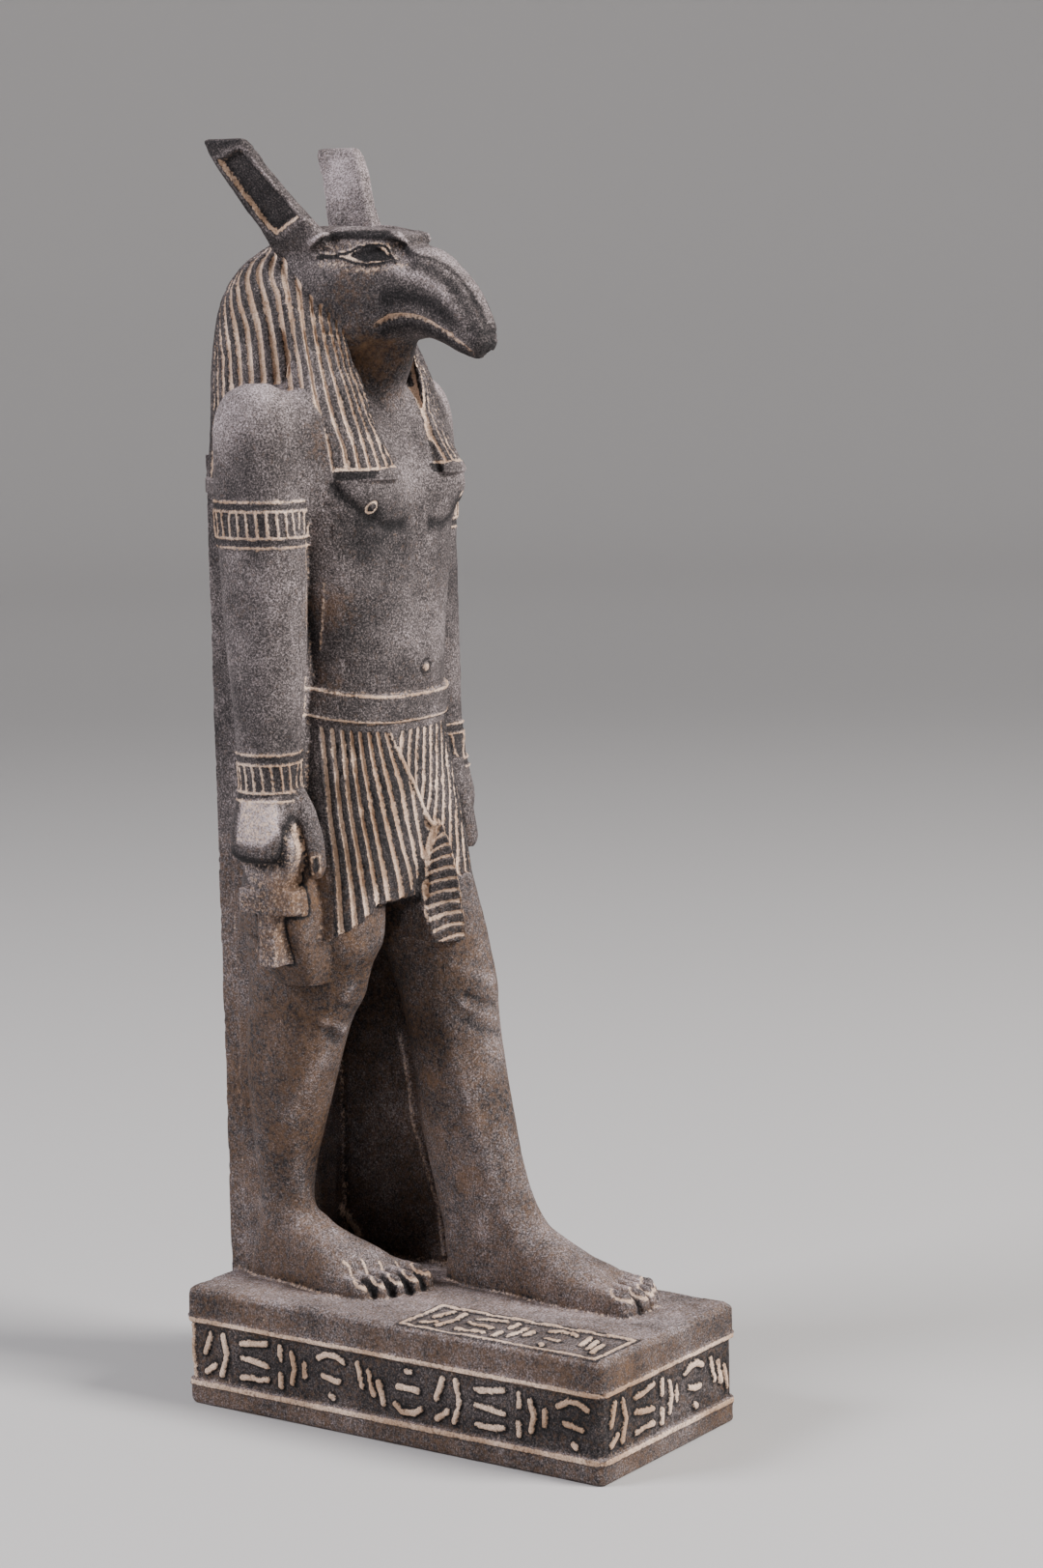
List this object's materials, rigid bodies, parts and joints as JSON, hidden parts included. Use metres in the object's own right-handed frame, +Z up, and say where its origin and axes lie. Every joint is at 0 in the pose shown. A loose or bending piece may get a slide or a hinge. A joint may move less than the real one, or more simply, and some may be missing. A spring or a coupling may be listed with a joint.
{
  "type": "egyptian god statue",
  "caption": "Standing stone statue of a striding god with a long-snouted animal head, tall square ears, wig, pleated kilt and ankh, cut in one with its back pillar and plinth.",
  "frame": {"origin": "middle of the plinth's underside, on the surface that the statue stands on", "axes": "+Z up, the figure looks towards -Y, its right hand with the ankh is on the -X side; millimetres in the source, metres in the row"},
  "size_m": [0.1063, 0.168, 0.4175],
  "materials": {
    "stone": "dark rough grained stone with sandy residue in its grooves"
  },
  "bodies": {
    "root": {"statue": "stone"}
  },
  "joints": []
}
